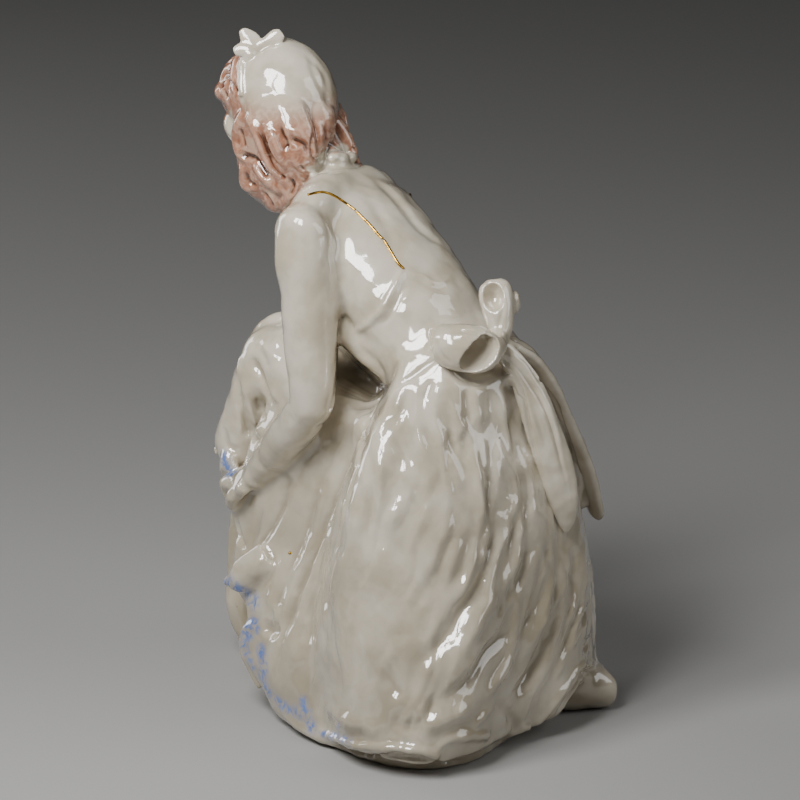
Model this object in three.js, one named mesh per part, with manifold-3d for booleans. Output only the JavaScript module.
// A glazed porcelain ballerina, cast and fired as one piece. She kneels on her right knee, bends over her
// raised left one and gathers the hem of her long skirt at the shin with both hands.
// Millimetres, +Z up. She faces -Y, so +X is her left side. The underside of the low base lies on Z = 0.
import * as THREE from "three";
import { mergeVertices } from "three/addons/utils/BufferGeometryUtils.js";
import Module from "manifold-3d";

const wasm = await Module();
wasm.setup();

// Driving dimensions.
const BASE_HEIGHT = 6;
const HEAD = { centre: [0, -73, 234], halfWidth: 18.5, halfDepth: 22, halfHeight: 22.5, pitch: 46, turn: -6 };
const HAIR_THICKNESS = 3.5;
const WAIST_HEIGHT = 152;
const SASH_THICKNESS = 2.2;
const GATHERS = 18;
const GATHER_DEPTH = 2.4;
const FOLD_DEPTH = 2.6;
const SWEEP_DEGREES = 38;

// Named places on the body, each [x, y, z].
const SHOULDER = { left: [33.5, -31.5, 200], right: [-31, -45, 192] };
const ELBOW = { left: [40, -21, 131], right: [-37, -62, 136] };
const WRIST = { left: [30, -61, 91], right: [-12, -98, 96] };
const KNOT = [3, 40, 161];

// The point on the ground under the middle of the whole figure, which becomes the part's own origin.
const MIDDLE = [1.6, -22.3, 0];

const X_AXIS = new THREE.Vector3(1, 0, 0);
const Y_AXIS = new THREE.Vector3(0, 1, 0);
const DOWN = new THREE.Vector3(0, 0, -1);
const radians = THREE.MathUtils.degToRad;
const smooth = THREE.MathUtils.smoothstep;

// A closed geometry as a solid that can be joined and cut.
function solid(geometry) {
  const bare = new THREE.BufferGeometry();
  bare.setAttribute("position", geometry.getAttribute("position"));
  bare.setIndex(geometry.getIndex());
  const merged = mergeVertices(bare, 1e-3);
  return new wasm.Manifold(
    new wasm.Mesh({
      numProp: 3,
      vertProperties: merged.getAttribute("position").array,
      triVerts: new Uint32Array(merged.getIndex().array),
    }),
  );
}

// A round form along a bent spine, made from a sphere whose poles go to the two ends.
// A station is [x, y, z, half width, half depth]; the half width runs along `across`, a direction or, where it
// turns on the way, a function that gives the direction at a share of the length. With `level` every ring lies
// level, however the spine leans. `swell` gives how far the surface stands out at a share of the length and an angle around the spine.
function form(stations, { across = X_AXIS, sides = 14, rings = 12, blunt = 0.75, level = false, swell } = {}) {
  const spine = new THREE.CatmullRomCurve3(stations.map(([x, y, z]) => new THREE.Vector3(x, y, z)));
  const sizes = new THREE.CatmullRomCurve3(stations.map(([, , , w, d = w]) => new THREE.Vector3(w, d, 0)));
  const geometry = new THREE.SphereGeometry(1, sides, rings);
  const position = geometry.getAttribute("position");
  const point = new THREE.Vector3();
  for (let i = 0; i < position.count; i += 1) {
    point.fromBufferAttribute(position, i);
    const share = THREE.MathUtils.clamp((1 - point.y) / 2, 0, 1);
    const angle = Math.atan2(point.z, point.x);
    const overEnd = Math.max(0, Math.abs(point.y) - blunt) / (1 - blunt);
    const ring = Math.sqrt(Math.max(0, 1 - overEnd * overEnd));
    const along = level ? DOWN : spine.getTangent(share);
    const wide = typeof across === "function" ? across(share) : across;
    const side = wide.clone().addScaledVector(along, -wide.dot(along)).normalize();
    const out = along.clone().cross(side);
    const size = sizes.getPoint(share);
    const extra = swell ? swell(share, angle) : 0;
    const place = spine.getPoint(share);
    place.addScaledVector(side, Math.cos(angle) * ring * (size.x + extra));
    place.addScaledVector(out, Math.sin(angle) * ring * (size.y + extra));
    position.setXYZ(i, place.x, place.y, place.z);
  }
  return solid(geometry);
}

// A ball of three half sizes, turned by Euler angles in degrees.
function ball(centre, [halfX, halfY, halfZ], turn = [0, 0, 0], sides = 14, rings = 10) {
  const geometry = new THREE.SphereGeometry(1, sides, rings);
  geometry.scale(halfX, halfY, halfZ);
  geometry.applyMatrix4(new THREE.Matrix4().makeRotationFromEuler(new THREE.Euler(...turn.map(radians))));
  geometry.translate(...centre);
  return solid(geometry);
}

// A smooth bump that is 1 at the middle and 0 beyond `spread` degrees to either side.
function bump(angle, middle, spread) {
  const gap = Math.abs(((angle - middle + 540) % 360) - 180) / spread;
  return gap < 1 ? (1 + Math.cos(Math.PI * gap)) / 2 : 0;
}

// Trunk, neck, shoulders and bare arms.
function body() {
  const trunk = form(
    [
      [0, 14, 112, 34, 27],
      [0, 16, 136, 29, 23],
      [0, 9, 153, 27, 21.5],
      [0, -5, 168, 28, 21.5],
      [0, -22, 183, 31, 20.5],
      [0, -36, 196, 32, 17],
      [0, -46, 205, 21, 13],
    ],
    { sides: 16, rings: 11 },
  );
  const belly = ball([0, -8, 155], [27, 18, 12], [-20, 0, 0], 12, 7);
  const bust = ball([0, -38, 180], [23, 10, 12], [-45, 0, 0], 12, 7);
  const yoke = form(
    [
      [...SHOULDER.left, 10, 11],
      [20, -35, 203, 10, 12],
      [0, -42, 205, 11, 12],
      [-18, -41, 200, 10, 12],
      [...SHOULDER.right, 9, 10],
    ],
    { across: Y_AXIS, sides: 12, rings: 10 },
  );
  const neck = form(
    [
      [0, -39, 200, 13, 12],
      [0, -48, 211, 10.5, 10.5],
      [0, -57, 221, 11, 11],
      [0, -64, 229, 13, 13],
    ],
    { sides: 12, rings: 6 },
  );
  return [trunk, belly, bust, yoke, neck, arm("left"), arm("right")];
}

function arm(which) {
  const sign = which === "left" ? 1 : -1;
  const [shoulder, elbow, wrist] = [SHOULDER[which], ELBOW[which], WRIST[which]];
  const between = (a, b, share) => a.map((v, i) => v + (b[i] - v) * share);
  const upper = form(
    [
      [...shoulder.map((v, i) => v + [-6 * sign, 1, 4][i]), 8],
      [...shoulder.map((v, i) => v + [1 * sign, 1, -2][i]), 12.5],
      [...between(shoulder, elbow, 0.35).map((v, i) => v + [-sign, 1, 0][i]), 12],
      [...between(shoulder, elbow, 0.72), 10.8],
      [...elbow, 9.4],
      [...between(elbow, wrist, 0.12), 7],
    ],
    { sides: 12, rings: 11 },
  );
  const fore = form(
    [
      [...between(elbow, shoulder, 0.06), 7],
      [...between(elbow, wrist, 0.12), 9.4],
      [...between(elbow, wrist, 0.42), 9],
      [...between(elbow, wrist, 0.85), 6.8],
      [...wrist, 6.3],
      [...between(elbow, wrist, 1.1), 5.5],
    ],
    { sides: 10, rings: 9 },
  );
  return upper.add(fore);
}

// A hand: a palm from the wrist, and four fingers and a thumb that curl over `grip`.
function hand(which) {
  const sign = which === "left" ? 1 : -1;
  const wrist = new THREE.Vector3(...WRIST[which]);
  const reach = which === "left" ? new THREE.Vector3(-0.45, -0.8, -0.4) : new THREE.Vector3(0.62, -0.45, -0.64);
  const ahead = reach.normalize();
  const over = new THREE.Vector3(0.2 * sign, -0.5, 0.84).normalize();
  const spread = ahead.clone().cross(over).normalize();
  const at = (a, s, o) => wrist.clone().addScaledVector(ahead, a).addScaledVector(spread, s).addScaledVector(over, o);
  const palm = form([[...at(-3, 0, 0), 5.5, 5], [...at(6, 0, 1), 7.5, 4.6], [...at(14, 0, 1), 8, 4]], {
    across: spread,
    sides: 10,
    rings: 7,
  });
  const fingers = [-1.5, -0.5, 0.5, 1.5].map((row) =>
    form(
      [
        [...at(12, row * 4.2, 1.5), 2.5],
        [...at(19, row * 4.3, 0), 2.4],
        [...at(23, row * 4.2, -5), 2.2],
        [...at(21, row * 4, -10), 1.9],
      ],
      { across: spread, sides: 6, rings: 5 },
    ),
  );
  const thumb = form([[...at(3, -6 * sign, -2), 3], [...at(10, -9 * sign, -5), 2.8], [...at(17, -8 * sign, -9), 2.2]], {
    across: spread,
    sides: 6,
    rings: 5,
  });
  return [palm, ...fingers, thumb];
}

// Legs: the left shin and its shoe on the toes, and the right shoe that shows behind the hem.
function legs() {
  const shin = form(
    [
      [0, -66, 124, 13, 14],
      [0, -76, 100, 12, 13],
      [-1, -86, 78, 9.8, 11.5],
      [-2, -93, 60, 6.2, 6.8],
      [-2, -95, 46, 6.2, 7],
    ],
    { sides: 10, rings: 8 },
  );
  const leftShoe = form(
    [
      [-2, -94, 54, 6.2, 7],
      [-3, -95, 40, 7.4, 9.2],
      [-3, -95, 28, 8, 9],
      [-4, -94, 15, 7.6, 8.4],
      [-5, -92, 1, 6.2, 6.6],
    ],
    { sides: 12, rings: 10, blunt: 0.92 },
  );
  const rightShoe = form(
    [
      [-14, 28, 14, 12, 12],
      [-27, 41, 12, 11, 11.5],
      [-40, 53, 9.5, 9.5, 10],
      [-50, 61, 8.5, 7.5, 8],
    ],
    { sides: 12, rings: 9, blunt: 0.88 },
  );
  return [shin, leftShoe, rightShoe];
}

// How far the skirt's outline is pushed out or in, by height. Angles run from her left (+X) towards her back (+Y).
// A lobe has its whole reach up to the height `low` and none above `top`.
const SKIRT_LOBES = [
  { middle: 42, spread: 44, reach: 21, low: 0, top: 110 }, // the train that spreads behind her left
  { middle: 128, spread: 70, reach: 8, low: 0, top: 100 }, // full towards the back
  { middle: 128, spread: 36, reach: -16, low: 0, top: 22 }, // the hem lifts over the right shoe
  { middle: 232, spread: 40, reach: 20, low: 0, top: 80 }, // over the kneeling right knee
  { middle: 308, spread: 66, reach: -19, low: 132, top: 168 }, // drawn in where the left side goes forward
];

function lobes(height, degrees) {
  return SKIRT_LOBES.reduce(
    (sum, { middle, spread, reach, low, top }) =>
      sum + reach * bump(degrees, middle, spread) * (1 - smooth(height, low, top)),
    0,
  );
}

// Gathers hang from the waist, then broad uneven folds sweep round towards her left as they fall.
function drapery(height, degrees) {
  const fallen = THREE.MathUtils.clamp(1 - height / WAIST_HEIGHT, 0, 1);
  const swept = radians(degrees + SWEEP_DEGREES * fallen ** 2 * bump(degrees, 130, 120));
  const uneven = swept * (GATHERS / 2) + 0.8 * Math.sin(swept * 3 + 1) + 0.5 * Math.sin(swept * 5);
  const gathers = (Math.abs(Math.cos(uneven)) - 0.6) * GATHER_DEPTH * Math.exp(-2.2 * fallen) * smooth(fallen, 0, 0.1);
  const broad = Math.sin(swept * 7 + 1.4 * Math.sin(swept * 2)) + 0.6 * Math.sin(swept * 11 + 5 * fallen);
  return gathers + broad * 0.6 * FOLD_DEPTH * Math.sin(Math.PI * Math.min(1, 0.1 + fallen * 0.8));
}

// Shallow folds along a form: `count` ridges round it, drifting as they go.
function ridges(count, depth) {
  return (share, angle) => depth * (Math.abs(Math.cos((angle * count) / 2 + share * 2)) - 0.6);
}

function bell() {
  const levels = [
    [0, 3, 164, 19, 11],
    [0, 12, WAIST_HEIGHT, 29, 22],
    [0, 15, 140, 39, 32],
    [0, 12, 122, 49, 42],
    [0, 10, 96, 58, 50],
    [0, 8, 66, 64, 56],
    [0, 6, 36, 66, 57],
    [0, 5, 16, 66, 56],
    [0, 5, 5, 62, 52],
  ];
  const spine = new THREE.CatmullRomCurve3(levels.map(([x, y, z]) => new THREE.Vector3(x, y, z)));
  return form(levels, {
    sides: 52,
    rings: 16,
    blunt: 0.985,
    swell: (share, angle) => {
      const height = spine.getPoint(share).z;
      const degrees = (360 - THREE.MathUtils.radToDeg(angle)) % 360;
      return lobes(height, degrees) + drapery(height, degrees);
    },
  });
}

// The side of the skirt that her left hand draws forward: at each height it runs from inside the bell to the
// free hem, with a half thickness.
function leftPanel() {
  const levels = [
    { height: 128, inside: [18, -4], hem: [16, -60], thick: 6 },
    { height: 104, inside: [26, 2], hem: [20, -72], thick: 6.5 },
    { height: 84, inside: [32, 6], hem: [22, -77], thick: 7.5 },
    { height: 70, inside: [36, 8], hem: [24, -79], thick: 8 },
    { height: 59, inside: [40, 10], hem: [30, -68], thick: 9 },
    { height: 46, inside: [45, 14], hem: [31, -76], thick: 9.5 },
    { height: 36, inside: [49, 18], hem: [38, -57], thick: 9.5 },
    { height: 25, inside: [53, 22], hem: [42, -59], thick: 9.5 },
    { height: 11, inside: [57, 26], hem: [46, -42], thick: 9 },
    { height: 0, inside: [57, 26], hem: [49, -32], thick: 7 },
  ];
  const stations = levels.map(({ height, inside: [a, b], hem: [c, d], thick }) => [
    (a + c) / 2,
    (b + d) / 2,
    height,
    Math.hypot(c - a, d - b) / 2,
    thick,
  ]);
  const reach = new THREE.CatmullRomCurve3(
    levels.map(({ inside: [a, b], hem: [c, d] }) => new THREE.Vector3(c - a, d - b, 0)),
  );
  return form(stations, {
    across: (share) => reach.getPoint(share).normalize(),
    sides: 16,
    rings: 14,
    blunt: 0.94,
    level: true,
    swell: ridges(6, 1),
  });
}

function skirt() {
  const lap = form(
    [
      [4, 12, 118, 26, 24],
      [6, -12, 122, 22, 24],
      [5, -40, 126, 20, 22],
      [3, -64, 131, 18, 19],
      [2, -75, 134, 14, 15],
    ],
    { sides: 18, rings: 9, swell: ridges(7, 1) },
  );
  const overKnee = form(
    [
      [2, -67, 147, 15, 11],
      [3, -74, 129, 18, 12],
      [4, -80, 110, 18.5, 12.5],
      [5, -84, 95, 18, 13.5],
      [6, -83, 82, 15, 8],
    ],
    { sides: 18, rings: 9, swell: ridges(8, 1.4) },
  );
  const rightPanel = form(
    [
      [-8, -2, 126, 24, 24],
      [-20, -24, 104, 26, 26],
      [-26, -42, 72, 26, 28],
      [-30, -46, 36, 28, 28],
      [-30, -44, 2, 26, 26],
    ],
    { sides: 16, rings: 9, blunt: 0.92, swell: ridges(7, 2) },
  );
  const underThigh = form(
    [
      [10, -24, 118, 17, 20],
      [12, -38, 96, 20, 31],
      [13, -38, 60, 25, 34],
      [12, -38, 24, 29, 34],
      [12, -36, 1, 27, 30],
    ],
    { sides: 14, rings: 7, blunt: 0.92 },
  );
  return [bell(), lap, overKnee, leftPanel(), rightPanel, underThigh];
}

// A loop of ribbon: a flat band bent from the knot out to `reach` and back, `rise` across its mouth and `deep` wide.
function loop(from, reach, rise, deep, { thick = SASH_THICKNESS, segments = 12 } = {}) {
  const start = new THREE.Vector3(...from);
  const out = new THREE.Vector3(...reach);
  const up = new THREE.Vector3(...rise);
  const wide = new THREE.Vector3(...deep);
  const path = (u, lift) =>
    start
      .clone()
      .addScaledVector(out, Math.sin(Math.PI * u) ** 0.8)
      .addScaledVector(up, Math.sin(2 * Math.PI * u) * 0.5)
      .addScaledVector(wide, lift);
  const geometry = new THREE.BoxGeometry(1, 1, 1, segments, 1, 2);
  const position = geometry.getAttribute("position");
  const face = new THREE.Vector3();
  for (let i = 0; i < position.count; i += 1) {
    const u = 0.02 + 0.96 * (position.getX(i) + 0.5);
    const share = 0.35 + 0.65 * Math.sin(Math.PI * u);
    const place = path(u, position.getZ(i) * share);
    face.copy(path(u + 0.005, 0)).sub(path(u - 0.005, 0)).cross(wide).normalize();
    place.addScaledVector(face, -position.getY(i) * thick);
    position.setXYZ(i, place.x, place.y, place.z);
  }
  return solid(geometry);
}

// The sash bow at the back of the waist, with two tails that lie on the skirt.
function sashBow() {
  const knot = ball(KNOT, [4.5, 5, 5.5], [0, 0, 0], 10, 8);
  const left = loop([2, 36, 160], [23, -4, -1], [4, 0, 17], [2, 14, -2]);
  const right = loop([1, 38, 162], [-4, -3, 21], [-10, 12, 0], [8, 6, 3]);
  const tails = [
    [
      [...KNOT, 3.5, 3],
      [-16, 42, 150, 5, 3],
      [-34, 41, 124, 6, 3.2],
      [-50, 41, 97, 7, 3.4],
      [-56, 42, 76, 6, 3],
    ],
    [
      [...KNOT, 3.5, 3],
      [0, 46, 148, 4.5, 3],
      [-8, 56, 128, 6, 3],
      [-16, 61, 104, 6.5, 3],
    ],
  ].map((stations) => form(stations, { sides: 8, rings: 9 }));
  return [knot, left, right, ...tails];
}

// The head in its own place: y forwards through the face is -Y, z is up through the crown.
function headPlace(x, y, z) {
  const place = new THREE.Vector3(x, y, z);
  place.applyAxisAngle(X_AXIS, radians(HEAD.pitch));
  place.applyAxisAngle(new THREE.Vector3(0, 0, 1), radians(HEAD.turn));
  return place.add(new THREE.Vector3(...HEAD.centre)).toArray();
}

function head() {
  const turn = [HEAD.pitch, 0, HEAD.turn];
  const { halfWidth, halfDepth, halfHeight } = HEAD;
  const skull = ball(headPlace(0, 1, 2), [halfWidth, halfDepth, halfHeight], turn, 12, 9);
  const jaw = ball(headPlace(0, -8, -13), [halfWidth - 5, halfDepth - 9, halfHeight - 9], turn, 12, 9);
  const nose = form([[...headPlace(0, -20, 3), 2], [...headPlace(0, -24, -3), 2.6], [...headPlace(0, -22, -6), 2.4]], {
    sides: 8,
    rings: 5,
  });
  return [skull, jaw, nose];
}

// The hair that hangs past one cheek and ear, wide along the head, with locks that stand out of it.
function hairSide(side) {
  const x = (across) => side * across;
  const [crown, top] = [HEAD.centre[1], HEAD.centre[2]];
  const [length, back] = side > 0 ? [1, 0] : [0.8, -10];
  const mass = form(
    [
      [x(11), crown + 4 + back, top + 14, 13, 8],
      [x(14), crown + 9 + back, top + 3, 19, 9],
      [x(14), crown + 11 + back, top - 12 * length, 21, 9],
      [x(13), crown + 8 + back, top - 25 * length, 17, 8],
      [x(12), crown + 8 + back, top - 34 * length, 13, 6],
      [x(12), crown + 9 + back, top - 39 * length, 5, 4],
    ],
    { across: Y_AXIS, sides: 14, rings: 9, level: true, swell: ridges(7, 1.8) },
  );
  const curl = ball([x(12), crown + 22, top - 13], [5, 5, 8], [0, 0, 0], 8, 6);
  return [mass, curl];
}

// Short waved hair: a cap over the skull, waves over the forehead, the sides and a curl at the nape.
function hair() {
  const turn = [HEAD.pitch, 0, HEAD.turn];
  const { halfWidth, halfDepth, halfHeight } = HEAD;
  const t = HAIR_THICKNESS;
  const cap = ball(headPlace(0, 4, 2), [halfWidth + t - 1, halfDepth + t - 1.5, halfHeight + t - 0.5], turn, 18, 11);
  const fringe = form(
    [
      [...headPlace(-16, -1, 10), 5, 4],
      [...headPlace(-9, -9, 16), 6, 4.5],
      [...headPlace(2, -12, 19), 6.5, 5],
      [...headPlace(11, -9, 17), 6, 5],
      [...headPlace(17, -2, 12), 5, 4],
    ],
    { across: Y_AXIS, sides: 8, rings: 10, swell: ridges(5, 1) },
  );
  return [cap, fringe, ...hairSide(1), ...hairSide(-1)];
}

// The hair ribbon: a band over the head from ear to ear, a small bow on top and a tie at the nape.
function hairRibbon() {
  const { halfWidth, halfHeight } = HEAD;
  const band = form(
    [-84, -50, -17, 17, 50, 84].map((degrees) => {
      const lean = radians(degrees);
      const rise = Math.cos(lean);
      const reach = HAIR_THICKNESS - 0.5;
      const place = headPlace((halfWidth + reach) * Math.sin(lean), 3 + 5 * rise, 2 + (halfHeight + reach) * rise);
      return [...place, 1.6, 1.2];
    }),
    { across: Y_AXIS, sides: 6, rings: 12 },
  );
  const top = headPlace(2, 10, halfHeight + HAIR_THICKNESS - 2);
  const small = { thick: 1.8, segments: 10 };
  const left = loop(top, [3, -4, 8], [2, 3, -4], [3, 6, 2], small);
  const right = loop(top, [-6, 7, 6], [3, 3, 5], [4, 4, -2], small);
  const knot = ball(top, [3.4, 3.4, 3], [0, 0, 0], 8, 6);
  const tie = ball([0, -40.5, 218.5], [5, 3, 3], [0, 0, 0], 10, 6);
  return [band, left, right, knot, tie];
}

// The low ground under the hem and the left toes, flat below.
function base() {
  const outline = [
    [50, -18],
    [38, -38],
    [22, -60],
    [4, -84],
    [-6, -98],
    [-20, -88],
    [-44, -68],
    [-62, -34],
    [-68, 4],
    [-58, 36],
    [-26, 45],
    [13, 54],
    [38, 57],
    [56, 47],
    [62, 28],
    [58, 2],
  ];
  const rim = new THREE.CatmullRomCurve3(
    outline.map(([x, y]) => new THREE.Vector3(x, y, 0)),
    true,
  );
  const shape = new THREE.Shape(rim.getPoints(48).slice(0, -1).map(({ x, y }) => new THREE.Vector2(x, y)));
  return [solid(new THREE.ExtrudeGeometry(shape, { depth: BASE_HEIGHT, bevelEnabled: false }))];
}

// Everything is joined as clay, then cut flat where it stands.
function figurine() {
  const clay = [
    ...body(),
    ...hand("left"),
    ...hand("right"),
    ...legs(),
    ...skirt(),
    ...sashBow(),
    ...head(),
    ...hair(),
    ...hairRibbon(),
    ...base(),
  ];
  const joined = clay.reduce((whole, piece) => whole.add(piece));
  const below = new THREE.BoxGeometry(400, 400, 60).translate(0, 0, -30);
  return joined.subtract(solid(below));
}

function geometryOf(made) {
  const { numProp, vertProperties, triVerts } = made.getMesh();
  const interleaved = new THREE.InterleavedBuffer(vertProperties, numProp);
  const geometry = new THREE.BufferGeometry();
  geometry.setAttribute("position", new THREE.InterleavedBufferAttribute(interleaved, 3, 0));
  geometry.setIndex(new THREE.BufferAttribute(triVerts, 1));
  return geometry;
}

const porcelain = new THREE.MeshStandardMaterial({ color: "#e4dfd4", roughness: 0.12, metalness: 0 });
const figure = new THREE.Mesh(geometryOf(figurine()), porcelain);
figure.name = "ballerina";
figure.position.set(...MIDDLE).negate();

const part = new THREE.Group();
part.add(figure);

export default part;
